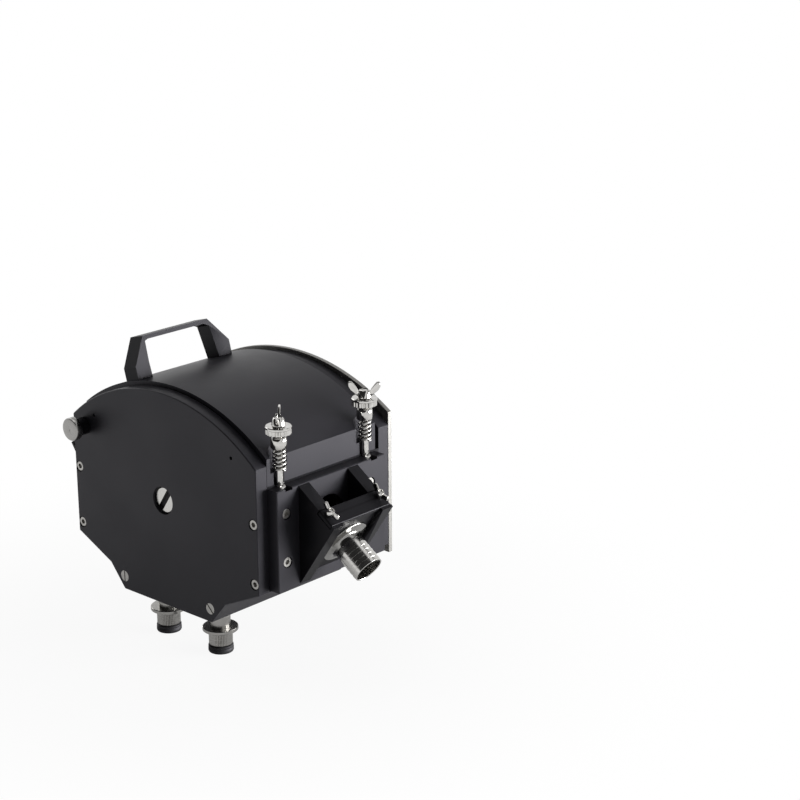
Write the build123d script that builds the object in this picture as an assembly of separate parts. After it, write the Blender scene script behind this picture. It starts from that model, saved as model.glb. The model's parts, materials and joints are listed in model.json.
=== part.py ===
from build123d import *
import math
import os

os.makedirs("parts", exist_ok=True)

# Frame: X to the right seen from the front, Y from the front towards the drive, Z up.
# Origin: the rotor axis on the rear mounting face. All sizes are in millimetres.

# ---- depth layout ----------------------------------------------------------
mount_plate_t = 5.0
end_plate_t = 15.0
bay_len = 163.0
front_y = -(mount_plate_t + end_plate_t + bay_len + end_plate_t)
bay_y0 = front_y + end_plate_t
bay_y1 = bay_y0 + bay_len
plate_back_y = bay_y1 + end_plate_t
hose_y = front_y + 88.0

# ---- end plates ------------------------------------------------------------
half_w = 140.0
crown_r = 214.5
crown_cz = -97.0
skirt_z = -68.0
knee = (89.0, -92.0)
sole = (68.0, -117.0)
edge_bevel = 0.8
mount_crown_r = 255.0
mount_crown_cz = -134.0
mount_low_z = -78.0

# ---- cover -----------------------------------------------------------------
cover_r = 224.0
cover_cz = -102.0
cover_low_z = 44.0
cover_gap = 0.5
cover_len = 157.0
track_r = 102.0
lean = math.radians(34.5)
pin_x = -121.5
pin_z = 55.8
knuckle_r = 18.0
knuckle_cut = math.radians(125.0)

# ---- clamping bolts --------------------------------------------------------
bolt_x = 141.0
bolt_z = 37.5
bolt_ys = (front_y + 32.0, front_y + 156.0)
pocket_r = 11.7
pocket_floor_z = 57.0
shank_r = 4.0
shank_slot_r = 4.7
mouth_flare = 2.5
eye_r = 6.0
eye_w = 9.0
eye_gap = 0.3
bolt_pin_r = 3.0
bolt_pin_len = 22.0
bolt_top_z = 113.0
spring_r = 6.25
spring_wire_r = 1.0
spring_top_z = 85.0
spring_pitch = 4.6
cap_wall = 1.0
cap_gap = 0.2
cap_skirt = 3.0
cap_h = 11.5
disc_nut_r = 13.5
disc_nut_t = 8.0
disc_rim_t = 3.0
disc_teeth = 18
disc_tooth_d = 1.3
wing_span = 34.0
wing_h = 17.0
wing_t = 3.2
wing_turn_front = -50.0
wing_turn_rear = 40.0
swing_clear = math.radians(62.0)

# ---- sides -----------------------------------------------------------------
side_t = 12.0
side_top_z = cover_low_z - cover_gap
block_t = 14.0
block_len = 157.0
block_z0 = -66.0
block_z1 = 42.0
port_r = 25.0
shell_t = 12.0

# ---- screws ----------------------------------------------------------------
m6_r = 3.0
m6_head_r = 5.0
m6_head_h = 6.0
m6_key = 5.0
m6_cbore_r = 6.0
m6_sink = 1.0
m6_shank = 22.0
block_m6_shank = 12.0
plate_screw_x = 134.0
plate_screw_zs = (6.8, -57.0)
block_screw_ys = (front_y + 28.4, front_y + 151.0)
block_screw_zs = (15.7, -36.0)
slot_screw_x = 67.0
slot_screw_z = -102.0
slot_screw_r = 6.0
slot_screw_t = 4.0
slot_screw_shank_r = 4.0
slot_screw_shank = 26.0
driver_slot_w = 1.6
driver_slot_d = 1.5
slot_turn_left = 90.0
slot_turn_right = -45.0
dowel_x = 105.3
dowel_z = 70.6
dowel_r = 2.0
dowel_d = 6.0

# ---- hose brackets ---------------------------------------------------------
apex_x = 203.0
apex_z = 7.3
cheek_t = 15.0
cheek_half = 43.0
bar_t = 5.0
bar_s0 = -25.0
bar_s1 = -3.5
bar_gap = 0.2
port_plate_s0 = -15.0
port_plate_s1 = -5.0
port_plate_gap = 0.4
barb_u = -42.0
barb_bore_r = 14.2
barb_tube_r = 15.3
barb_rib_r = 16.0
barb_end_s = 36.6
barb_rib_pitch = 5.2
barb_ribs = 5
flange_r = 27.4
flange_t = 4.0
hub_r = 18.0
hub_t = 4.0
wing_screw_s = -17.0
wing_screw_y = 36.0
wing_screw_r = 2.5
wing_screw_len = 26.0
wing_screw_span = 24.0
wing_screw_wing_h = 12.0
wing_screw_wing_t = 2.4
wing_screw_boss_r = 4.5
wing_screw_boss_h = 6.0

# ---- rotor -----------------------------------------------------------------
shaft_r = 15.0
shaft_nose_r = 13.0
shaft_sink = 3.0
nose_step_y = front_y + 6.3
shaft_end_y = -0.5
drive_bore_r = 9.5
drive_bore_d = 45.0
key_slot_w = 7.0
key_lean = 56.0
key_slot_d = 2.4
bearing_r = 23.5
bearing_w = 9.0
bearing_race_t = 3.0
inner_race_t = 2.5
bearing_air = 0.3
shield_t = 1.0
rear_hole_r = 17.0
disc_r = 85.0
disc_t = 8.0
disc_front_y = front_y + 34.0
disc_rear_y = front_y + 134.0
hub_tube_r = 30.0
roller_r = 22.0
roller_orbit = 65.0
roller_count = 6
axle_r = 6.0
axle_gap = 0.05
roller_end_gap = 0.5

# ---- hinge pin and knob ----------------------------------------------------
pin_r = 6.0
pin_gap = 0.05
pin_front_y = front_y - 16.0
pin_rear_y = plate_back_y - 3.0
knob_front_y = front_y - 20.0
knob_disc_r = 12.5
knob_disc_t = 8.0
knob_neck_r = 8.5
knob_clear = 1.0
bush_r = 9.5

# ---- handle ----------------------------------------------------------------
handle_x = -60.0
handle_w = 20.0
handle_sink = 0.4
handle_screw_r = 2.5
handle_screw_len = 22.0
handle_screw_head_r = 4.25
handle_screw_head_h = 5.0
handle_foot_mid = 9.0
handle_screw_depth = 12.0
handle_screw_key = 4.0
head_clear = 0.5

# ---- feet ------------------------------------------------------------------
foot_x = 41.0
foot_y = front_y + 37.0
stem_r = 11.0
stem_z = -140.0
stem_tail = 15.0
foot_flange_r = 19.0
foot_flange_t = 4.0
stud_r = 6.0
knurl_r = 12.7
knurl_root_r = 12.1
knurl_teeth = 40
knurl_top_z = -144.6
knurl_low_z = -160.0
stud_low_z = -158.0
foot_gap = 0.3
pad_r = 13.5
pad_low_z = -168.5
pad_stem_r = 4.0
pad_stem_h = 1.6

# ---- mounting --------------------------------------------------------------
mount_hole_r = 3.4
mount_hole_x = 60.0
mount_hole_z = 45.0
mount_hole_d = 12.0

bottom = (Align.CENTER, Align.CENTER, Align.MIN)
top = (Align.CENTER, Align.CENTER, Align.MAX)


# ---- helpers ---------------------------------------------------------------
def along_y(face, y0, y1):
    """A profile drawn in (X, Z), extruded from depth y0 to y1."""
    base = Plane(origin=(0, y1, 0), x_dir=(1, 0, 0), z_dir=(0, -1, 0))
    return extrude(base * face, amount=y1 - y0)


def rod_y(radius, y0, y1, x=0.0, z=0.0):
    """A cylinder along Y from y0 to y1."""
    return Pos(x, y0, z) * Rot(-90, 0, 0) * Cylinder(radius, y1 - y0, align=bottom)


def box(x0, x1, y0, y1, z0, z1):
    """A box between two corners."""
    return Pos((x0 + x1) / 2, (y0 + y1) / 2, (z0 + z1) / 2) * Box(x1 - x0, y1 - y0, z1 - z0)


def facing(x, y, z, normal, across=(1, 0, 0)):
    """A place whose Z points along normal."""
    return Plane(origin=(x, y, z), x_dir=across, z_dir=normal).location


def arched(half, radius, centre_z, lower):
    """A symmetric outline: an arc on top, straight sides, then the lower corners of the right half."""
    side_z = centre_z + math.sqrt(radius**2 - half**2)
    right = [(half, side_z)] + list(lower)
    left = [(-x, z) for x, z in reversed(right)]
    sides = Polyline(*right, *left)
    crown = ThreePointArc(left[-1], (0, centre_z + radius), right[0])
    return make_face(sides + crown)


def cap_screw(thread_r, length, head_r, head_h, key_w):
    """A hexagon socket cap screw; head top at the origin, shank downwards."""
    screw = Cylinder(head_r, head_h, align=top)
    screw += Pos(0, 0, -head_h) * Cylinder(thread_r, length, align=top)
    socket = extrude(RegularPolygon(key_w / math.sqrt(3), 6), amount=-head_h * 0.55)
    return screw - socket


def slotted_screw(head_r, head_t, thread_r, length, slot_w, slot_d):
    """A slotted cheese head screw; head top at the origin."""
    screw = Cylinder(head_r, head_t, align=top)
    screw += Pos(0, 0, -head_t) * Cylinder(thread_r, length, align=top)
    return screw - Box(2.2 * head_r, slot_w, 2 * slot_d)


def wings(boss_r, boss_h, span, height, thick):
    """A wing head standing on the origin, its wings in the local XZ plane."""
    half = span / 2
    blade = [
        (0, 0.2 * boss_h),
        (0.85 * boss_r, 0.1 * boss_h),
        (0.86 * half, 0.42 * height),
        (half, 0.72 * height),
        (0.97 * half, 0.93 * height),
        (0.84 * half, height),
        (0.7 * half, 0.93 * height),
        (0.8 * boss_r, 0.85 * boss_h),
        (0, 0.85 * boss_h),
    ]
    side = Plane.XZ * make_face(Polyline(*blade, close=True))
    wing = extrude(side, amount=thick / 2, both=True)
    return Cone(boss_r, 0.82 * boss_r, boss_h, align=bottom) + wing + mirror(wing, about=Plane.YZ)


def knurled(radius, root_r, teeth, height):
    """A straight-knurled disc standing on the origin."""
    step = math.pi / teeth
    points = []
    for i in range(2 * teeth):
        r = radius if i % 2 == 0 else root_r
        points.append((r * math.cos(i * step), r * math.sin(i * step)))
    return extrude(make_face(Polyline(*points, close=True)), amount=height)


def group(pieces):
    """Separate identical solids kept in one node."""
    return Compound(children=list(pieces))


def save(name, shape):
    """Write one node."""
    export_step(shape, f"parts/{name}.step")


# ---- end plates ------------------------------------------------------------
lower_corners = [(half_w, skirt_z), knee, sole]
plate_face = arched(half_w, crown_r, crown_cz, lower_corners)
screw_spots = [(sx * plate_screw_x, z) for sx in (-1, 1) for z in plate_screw_zs]
slot_spots = [(sx * slot_screw_x, slot_screw_z) for sx in (-1, 1)]


def bevelled_plate(y0, y1, outer_is_front):
    """An end plate with its outward edge broken."""
    plate = along_y(plate_face, y0, y1)
    faces = plate.faces().sort_by(Axis.Y)
    outer = faces[0] if outer_is_front else faces[-1]
    return chamfer(outer.outer_wire().edges(), edge_bevel)


front_plate = bevelled_plate(front_y, bay_y0, True)
front_plate -= rod_y(shaft_r, front_y - 1, bay_y0 + 1)
front_plate -= rod_y(bearing_r, bay_y0 - bearing_w, bay_y0 + 1)
front_plate -= rod_y(pin_r + pin_gap, front_y - 1, bay_y0 + 1, pin_x, pin_z)
for x, z in screw_spots:
    front_plate -= rod_y(m6_cbore_r, front_y - 1, front_y + m6_sink + m6_head_h, x, z)
    front_plate -= rod_y(m6_r, front_y, bay_y0 + 1, x, z)
for x, z in slot_spots:
    front_plate -= rod_y(slot_screw_r, front_y - 1, front_y + slot_screw_t, x, z)
    front_plate -= rod_y(slot_screw_shank_r, front_y, bay_y0 + 1, x, z)
for sx in (-1, 1):
    front_plate -= rod_y(dowel_r, front_y - 1, front_y + dowel_d, sx * dowel_x, dowel_z)
save("front_plate", front_plate)

rear_plate = bevelled_plate(bay_y1, plate_back_y, False)
rear_plate -= rod_y(rear_hole_r, bay_y1 - 1, plate_back_y + 1)
rear_plate -= rod_y(bearing_r, bay_y1 - 1, bay_y1 + bearing_w)
rear_plate -= rod_y(pin_r + pin_gap, bay_y1 - 1, pin_rear_y + 1, pin_x, pin_z)
for x, z in screw_spots:
    rear_plate -= rod_y(m6_cbore_r, plate_back_y - m6_head_h - m6_sink, plate_back_y + 1, x, z)
    rear_plate -= rod_y(m6_r, bay_y1 - 1, plate_back_y, x, z)
for x, z in slot_spots:
    rear_plate -= rod_y(slot_screw_r, plate_back_y - slot_screw_t, plate_back_y + 1, x, z)
    rear_plate -= rod_y(slot_screw_shank_r, bay_y1 - 1, plate_back_y, x, z)
mount_spots = [(sx * mount_hole_x, sz * mount_hole_z) for sx in (-1, 1) for sz in (-1, 1)]
for x, z in mount_spots:
    rear_plate -= rod_y(mount_hole_r, plate_back_y - mount_hole_d, plate_back_y + 1, x, z)
save("rear_plate", rear_plate)

mount_face = arched(half_w, mount_crown_r, mount_crown_cz, [(half_w, mount_low_z)])
mount_plate = along_y(mount_face, plate_back_y, 0)
mount_plate -= rod_y(rear_hole_r, plate_back_y - 1, 1)
for x, z in mount_spots:
    mount_plate -= rod_y(mount_hole_r, plate_back_y - 1, 1, x, z)
save("mount_plate", mount_plate)

# ---- sides and lower shell -------------------------------------------------
e_x = math.cos(lean)
e_z = -math.sin(lean)
n_x = math.sin(lean)
n_z = math.cos(lean)


def vee(s, u):
    """Bracket point: s along the hose, u up the plate, both from the apex."""
    return (apex_x + s * e_x + u * n_x, apex_z + s * e_z + u * n_z)


hose_x, hose_z = vee(0, barb_u)
hose_place = facing(hose_x, hose_y, hose_z, (e_x, 0, e_z), (0, 1, 0))
port_cut = hose_place * Cylinder(port_r, 240)


def bolt_recess(y):
    """The slot in the block top where a bolt's eye sits and swings outwards."""
    run = bolt_x + 30
    cut = rod_y(eye_r + eye_gap, y - eye_w / 2 - eye_gap, y + eye_w / 2 + eye_gap, bolt_x, bolt_z)
    cut += box(
        bolt_x - eye_r - eye_gap,
        bolt_x + eye_r + eye_gap,
        y - eye_w / 2 - eye_gap,
        y + eye_w / 2 + eye_gap,
        bolt_z,
        bolt_z + 20,
    )
    slope_x = math.sin(swing_clear)
    slope_z = math.cos(swing_clear)
    low_x = bolt_x + (shank_r + eye_gap) * slope_z
    low_z = bolt_z - (shank_r + eye_gap) * slope_x
    fan = Polyline(
        (low_x, low_z),
        (low_x + 40 * slope_x, low_z + 40 * slope_z),
        (bolt_x, bolt_z + 40),
        (bolt_x, low_z),
        close=True,
    )
    cut += along_y(make_face(fan), y - eye_w / 2 - eye_gap, y + eye_w / 2 + eye_gap)
    return cut


side_right = box(half_w - side_t, half_w, bay_y0, bay_y1, skirt_z, side_top_z)
side_right -= port_cut
for y in bolt_ys:
    side_right -= bolt_recess(y)
    side_right -= rod_y(bolt_pin_r, y - bolt_pin_len / 2, y + bolt_pin_len / 2, bolt_x, bolt_z)
left_top_z = pin_z - knuckle_r - 0.8
side_left = box(-half_w, side_t - half_w, bay_y0, bay_y1, skirt_z, left_top_z)
side_left -= mirror(port_cut, about=Plane.YZ)

block_x1 = half_w + block_t
block_right = box(half_w, block_x1, bay_y0, bay_y0 + block_len, block_z0, block_z1)
block_right = chamfer(block_right.faces().sort_by(Axis.X)[-1].outer_wire().edges(), edge_bevel)
block_right -= port_cut
block_left = mirror(block_right, about=Plane.YZ)
for y in bolt_ys:
    block_right -= bolt_recess(y)
    block_right -= rod_y(bolt_pin_r, y - bolt_pin_len / 2, y + bolt_pin_len / 2, bolt_x, bolt_z)

block_screws = []
for y in block_screw_ys:
    for z in block_screw_zs:
        seat_x = block_x1 - m6_sink
        place = facing(seat_x, y, z, (1, 0, 0), (0, 1, 0))
        screw = place * cap_screw(m6_r, block_m6_shank, m6_head_r, m6_head_h, m6_key)
        mouth = facing(block_x1 + 1, y, z, (1, 0, 0), (0, 1, 0))
        sink = mouth * Cylinder(m6_cbore_r, 1 + m6_sink + m6_head_h, align=top)
        hole = place * Cylinder(m6_r, m6_head_h + block_m6_shank, align=top)
        block_right -= sink + hole
        block_left -= mirror(sink + hole, about=Plane.YZ)
        side_right -= hole
        side_left -= mirror(hole, about=Plane.YZ)
        block_screws += [screw, mirror(screw, about=Plane.YZ)]

end_screws = []
for x, z in screw_spots:
    screw = cap_screw(m6_r, m6_shank, m6_head_r, m6_head_h, m6_key)
    end_screws.append(facing(x, front_y + m6_sink, z, (0, -1, 0)) * screw)
    end_screws.append(facing(x, plate_back_y - m6_sink, z, (0, 1, 0)) * screw)
    reach = m6_sink + m6_head_h + m6_shank
    holes = rod_y(m6_r, bay_y0 - 1, front_y + reach, x, z)
    holes += rod_y(m6_r, plate_back_y - reach, bay_y1 + 1, x, z)
    if x > 0:
        side_right -= holes
    else:
        side_left -= holes
save("side_plate_right", side_right)
save("side_plate_left", side_left)
save("side_block_right", block_right)
save("side_block_left", block_left)
save("side_block_screws", group(block_screws))
save("end_plate_screws", group(end_screws))

belly = [(half_w, skirt_z + 60), (half_w, skirt_z), knee, sole]
belly += [(-x, z) for x, z in reversed(belly)]
belly_face = make_face(Polyline(*belly, close=True))
shell_face = belly_face - offset(belly_face, amount=-shell_t, kind=Kind.INTERSECTION)
for x, z in slot_spots:
    shell_face += (Pos(x, z) * Circle(slot_screw_r + 7)) & belly_face
shell_face -= Pos(0, skirt_z + 50) * Rectangle(3 * half_w, 100)
lower_shell = along_y(shell_face, bay_y0, bay_y1)
slot_screws = []
for x, z in slot_spots:
    screw = slotted_screw(
        slot_screw_r, slot_screw_t, slot_screw_shank_r, slot_screw_shank, driver_slot_w, driver_slot_d
    )
    reach = slot_screw_t + slot_screw_shank
    lower_shell -= rod_y(slot_screw_shank_r, bay_y0 - 1, front_y + reach, x, z)
    lower_shell -= rod_y(slot_screw_shank_r, plate_back_y - reach, bay_y1 + 1, x, z)
    turn = Rot(0, 0, slot_turn_left if x < 0 else slot_turn_right)
    slot_screws.append(facing(x, front_y, z, (0, -1, 0)) * turn * screw)
    slot_screws.append(facing(x, plate_back_y, z, (0, 1, 0)) * turn * screw)
for sx in (-1, 1):
    lower_shell -= Pos(sx * foot_x, foot_y, sole[1]) * Cylinder(stud_r, 2 * shell_t)
save("lower_shell", lower_shell)
save("shell_screws", group(slot_screws))

# ---- cover -----------------------------------------------------------------
cover_y0 = bay_y0 + cover_gap
cover_y1 = cover_y0 + cover_len
arch = arched(half_w, cover_r, cover_cz, [(half_w, cover_low_z)])
spring_line_x = track_r * math.sin(lean)
spring_line_z = track_r * math.cos(lean)
drop = (spring_line_z - cover_low_z + 10) / math.sin(lean)
foot_line_x = spring_line_x + drop * math.cos(lean)
throat = make_face(
    Polyline(
        (spring_line_x, spring_line_z),
        (foot_line_x, cover_low_z - 10),
        (-foot_line_x, cover_low_z - 10),
        (-spring_line_x, spring_line_z),
        close=True,
    )
)
far = 120.0
heel = make_face(
    Polyline(
        (pin_x, pin_z),
        (pin_x + far * math.cos(knuckle_cut), pin_z + far * math.sin(knuckle_cut)),
        (pin_x - far, pin_z),
        (pin_x - far, -far),
        (pin_x, -far),
        close=True,
    )
)
cover_face = arch - Circle(track_r) - throat - heel + Pos(pin_x, pin_z) * Circle(knuckle_r)
cover = along_y(cover_face, cover_y0, cover_y1)
cover -= rod_y(pin_r + pin_gap, cover_y0 - 1, cover_y1 + 1, pin_x, pin_z)
for y in bolt_ys:
    cover -= Pos(bolt_x, y, pocket_floor_z) * Cylinder(pocket_r, 60, align=bottom)
    cover -= Pos(bolt_x, y, cover_low_z - 1) * Cylinder(shank_slot_r, 40, align=bottom)
    flare = Polyline(
        (half_w - mouth_flare, y - shank_slot_r),
        (half_w + 1, y - shank_slot_r - mouth_flare - 1),
        (half_w + 1, y + shank_slot_r + mouth_flare + 1),
        (half_w - mouth_flare, y + shank_slot_r),
        close=True,
    )
    mouth = extrude(make_face(flare), amount=pocket_floor_z - cover_low_z + 2, dir=(0, 0, 1))
    cover -= Pos(0, 0, cover_low_z - 1) * mouth

# ---- handle ----------------------------------------------------------------
rise = math.asin(handle_x / cover_r)
seat = (handle_x, 0, cover_cz + cover_r * math.cos(rise))
grip_normal = (math.sin(rise), 0, math.cos(rise))
grip_outer = [
    (17.5, -handle_sink),
    (17.5, 13.5),
    (35.0, 43.5),
    (126.0, 43.5),
    (150.5, 15.7),
    (150.5, -handle_sink),
]
grip_inner = [(132.5, -2.0), (127.0, 35.5), (120.0, 39.0), (41.0, 39.0), (37.0, 37.5), (36.3, 15.7), (37.0, -2.0)]
grip_face = make_face(Polyline(*grip_outer, close=True)) - make_face(Polyline(*grip_inner, close=True))
grip_plane = Plane(
    origin=(seat[0], front_y, seat[2]),
    x_dir=(0, 1, 0),
    z_dir=Vector(0, 1, 0).cross(Vector(*grip_normal)),
)
handle = extrude(grip_plane * grip_face, amount=handle_w / 2, both=True)
handle -= cover
handle_screws = []
for foot_mid in (grip_outer[0][0] + handle_foot_mid, grip_outer[-1][0] - handle_foot_mid):
    head_h = handle_screw_head_h
    place = facing(
        seat[0] - handle_screw_depth * grip_normal[0],
        front_y + foot_mid,
        seat[2] - handle_screw_depth * grip_normal[2],
        (-grip_normal[0], 0, -grip_normal[2]),
        (0, 1, 0),
    )
    screw = place * cap_screw(handle_screw_r, handle_screw_len, handle_screw_head_r, head_h, handle_screw_key)
    cover -= place * Cylinder(handle_screw_head_r + head_clear, 30, align=bottom)
    cover -= place * Cylinder(handle_screw_head_r + head_clear, head_h, align=top)
    bore = place * Cylinder(handle_screw_r, head_h + handle_screw_len, align=top)
    cover -= bore
    handle -= bore
    handle_screws.append(screw)
save("cover_shell", cover)
save("cover_handle", handle)
save("handle_screws", group(handle_screws))

# ---- hinge pin, knob, bush -------------------------------------------------
hinge_pin = rod_y(pin_r, pin_front_y, pin_rear_y, pin_x, pin_z)
neck_y1 = front_y - knob_clear
knob = rod_y(knob_disc_r, knob_front_y, knob_front_y + knob_disc_t)
knob = chamfer(knob.edges().filter_by(GeomType.CIRCLE), 1.2)
knob += rod_y(knob_neck_r, knob_front_y + knob_disc_t, neck_y1)
knob -= rod_y(pin_r, pin_front_y, neck_y1 + 1)
knob = Pos(pin_x, 0, pin_z) * knob
bush = rod_y(bush_r, cover_y1 + cover_gap, bay_y1, pin_x, pin_z)
bush -= rod_y(pin_r + pin_gap, cover_y1, bay_y1 + 1, pin_x, pin_z)
save("hinge_pin", hinge_pin)
save("hinge_knob", knob)
save("hinge_bush", bush)

# ---- clamping bolts --------------------------------------------------------
pins = [rod_y(bolt_pin_r, y - bolt_pin_len / 2, y + bolt_pin_len / 2, bolt_x, bolt_z) for y in bolt_ys]
save("bolt_pivots", group(pins))
spring_z0 = pocket_floor_z + eye_gap
nut_gap = 0.1
cap_z1 = spring_top_z + cap_h
disc_z0 = cap_z1 + nut_gap
wing_z0 = disc_z0 + disc_nut_t + nut_gap
cap_outer = spring_r + spring_wire_r + cap_gap + cap_wall
cap_inner = cap_outer - cap_wall
cap_line = [
    (cap_inner, -cap_skirt),
    (cap_outer, -cap_skirt),
    (cap_outer, 0.45 * cap_h),
    (0.86 * cap_outer, 0.75 * cap_h),
    (0.62 * cap_outer, 0.9 * cap_h),
    (0.62 * cap_outer, cap_h),
    (shank_r, cap_h),
    (shank_r, 0),
    (cap_inner, 0),
]
spring_cap = revolve(Plane.XZ * make_face(Polyline(*cap_line, close=True)), axis=Axis.Z)
for name, y, turn in (("front", bolt_ys[0], wing_turn_front), ("rear", bolt_ys[1], wing_turn_rear)):
    bolt = rod_y(eye_r, y - eye_w / 2, y + eye_w / 2, bolt_x, bolt_z)
    bolt += Pos(bolt_x, y, bolt_z) * Cylinder(shank_r, bolt_top_z - bolt_z, align=bottom)
    bolt -= rod_y(bolt_pin_r + pin_gap, y - eye_w, y + eye_w, bolt_x, bolt_z)
    save(f"swing_bolt_{name}", bolt)
    coil = Helix(spring_pitch, spring_top_z - spring_z0 - 2 * spring_wire_r, spring_r)
    coil = sweep(Plane(origin=coil @ 0, z_dir=coil % 0) * Circle(spring_wire_r), path=coil)
    save(f"bolt_spring_{name}", Pos(bolt_x, y, spring_z0 + spring_wire_r) * coil)
    save(f"spring_cap_{name}", Pos(bolt_x, y, spring_top_z) * spring_cap)
    disc = knurled(disc_nut_r - 0.4, disc_nut_r - disc_tooth_d, disc_teeth, disc_nut_t - disc_rim_t)
    rim = Pos(0, 0, disc_nut_t - disc_rim_t) * Cylinder(disc_nut_r, disc_rim_t, align=bottom)
    disc += chamfer(rim.edges().filter_by(GeomType.CIRCLE), 0.6)
    disc -= Cylinder(shank_r + pin_gap, 40)
    save(f"disc_nut_{name}", Pos(bolt_x, y, disc_z0) * disc)
    nut = wings(7.0, 8.5, wing_span, wing_h, wing_t)
    nut -= Cylinder(shank_r + pin_gap, 60)
    save(f"wing_nut_{name}", Pos(bolt_x, y, wing_z0) * Rot(0, 0, turn) * nut)

# ---- hose brackets ---------------------------------------------------------
cheek_top = apex_z + (apex_x - block_x1) * math.tan(lean)
cheek_low = apex_z - (apex_x - block_x1) / math.tan(lean)
cheek_face = make_face(
    Polyline((block_x1, cheek_top), (apex_x, apex_z), (block_x1, cheek_low), close=True)
)
notch = [
    vee(bar_s0 - bar_gap, -bar_t - bar_gap),
    vee(bar_s1 + bar_gap, -bar_t - bar_gap),
    vee(bar_s1 + bar_gap, 5),
    vee(bar_s0 - bar_gap, 5),
]
cheek_face -= make_face(Polyline(*notch, close=True))
cheek_y0 = hose_y - cheek_half
cheek_y1 = hose_y + cheek_half
cheeks = [
    along_y(cheek_face, cheek_y0, cheek_y0 + cheek_t),
    along_y(cheek_face, cheek_y1 - cheek_t, cheek_y1),
]

plate_corners = [
    vee(port_plate_s0, -bar_t),
    vee(port_plate_s1, -bar_t),
    vee(port_plate_s1, -100),
    vee(port_plate_s0, -100),
]
plate_half = cheek_half - cheek_t - port_plate_gap
port_plate = along_y(make_face(Polyline(*plate_corners, close=True)), hose_y - plate_half, hose_y + plate_half)
port_plate -= box(0, block_x1 + port_plate_gap, -300, 0, -200, 200)
port_plate -= hose_place * Cylinder(barb_tube_r, 100)

bar_corners = [vee(bar_s0, -bar_t), vee(bar_s1, -bar_t), vee(bar_s1, 0), vee(bar_s0, 0)]
clamp_bar = along_y(make_face(Polyline(*bar_corners, close=True)), cheek_y0, cheek_y1)
clamp_bar = chamfer(clamp_bar.edges(), edge_bevel)

neck_s = barb_end_s - barb_ribs * barb_rib_pitch
barb_line = [
    (barb_bore_r, port_plate_s0),
    (barb_tube_r, port_plate_s0),
    (barb_tube_r, neck_s),
]
for i in range(barb_ribs):
    rib_s = neck_s + i * barb_rib_pitch
    barb_line += [(barb_rib_r, rib_s + 0.6), (barb_rib_r, rib_s + 1.4), (barb_tube_r, rib_s + barb_rib_pitch)]
barb_line.append((barb_bore_r, barb_end_s))
barb_face = Plane.XZ * make_face(Polyline(*barb_line, close=True))
barb = hose_place * revolve(barb_face, axis=Axis.Z)
flare_s = port_plate_s1 + flange_t
flange_line = [
    (barb_tube_r, port_plate_s1),
    (flange_r, port_plate_s1),
    (flange_r, flare_s - 1.0),
    (flange_r - 1.0, flare_s),
    (hub_r, flare_s),
    (0.35 * hub_r + 0.65 * barb_tube_r, flare_s + 0.45 * hub_t),
    (barb_tube_r, flare_s + hub_t),
]
flange = hose_place * revolve(Plane.XZ * make_face(Polyline(*flange_line, close=True)), axis=Axis.Z)

wing_screw = wings(
    wing_screw_boss_r, wing_screw_boss_h, wing_screw_span, wing_screw_wing_h, wing_screw_wing_t
)
wing_screw += Pos(0, 0, -wing_screw_len) * Cylinder(wing_screw_r, wing_screw_len + 1, align=bottom)
screw_x, screw_z = vee(wing_screw_s, 0.3)
for name, y in (("front", hose_y - wing_screw_y), ("rear", hose_y + wing_screw_y)):
    place = facing(screw_x, y, screw_z, (n_x, 0, n_z), (e_x, 0, e_z))
    screw = place * wing_screw
    hole = place * Cylinder(wing_screw_r + pin_gap, 2 * wing_screw_len + 2)
    clamp_bar -= hole
    cheeks = [cheek - hole for cheek in cheeks]
    save(f"wing_screw_right_{name}", screw)
    save(f"wing_screw_left_{name}", mirror(screw, about=Plane.YZ))
save("bracket_cheeks", group(cheeks + [mirror(c, about=Plane.YZ) for c in cheeks]))
for name, shape in (("port_plate", port_plate), ("clamp_bar", clamp_bar), ("hose_barb", barb), ("barb_flange", flange)):
    save(f"{name}_right", shape)
    save(f"{name}_left", mirror(shape, about=Plane.YZ))

# ---- rotor -----------------------------------------------------------------
shaft = rod_y(shaft_nose_r, front_y + shaft_sink, nose_step_y)
shaft += rod_y(shaft_r, nose_step_y, shaft_end_y)
key = Rot(0, -key_lean, 0) * Box(4 * shaft_r, 2 * key_slot_d, key_slot_w)
shaft -= Pos(0, front_y + shaft_sink, 0) * key
shaft -= rod_y(drive_bore_r, shaft_end_y - drive_bore_d, shaft_end_y + 1)
save("rotor_shaft", shaft)

outer_rings = []
inner_rings = []
for y0, y1, lip_y in (
    (bay_y0 - bearing_w, bay_y0, bay_y0 - shield_t),
    (bay_y1, bay_y1 + bearing_w, bay_y1),
):
    outer_ring = rod_y(bearing_r, y0, y1) - rod_y(bearing_r - bearing_race_t, y0 - 1, y1 + 1)
    shield = rod_y(bearing_r - bearing_race_t, lip_y, lip_y + shield_t)
    shield -= rod_y(shaft_r + inner_race_t + bearing_air, y0 - 1, y1 + 1)
    outer_rings.append(outer_ring + shield)
    inner_rings.append(rod_y(shaft_r + inner_race_t, y0 + 0.1, y1 - 0.1) - rod_y(shaft_r, y0 - 1, y1 + 1))
save("bearing_outer_rings", group(outer_rings))
save("bearing_inner_rings", group(inner_rings))

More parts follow.
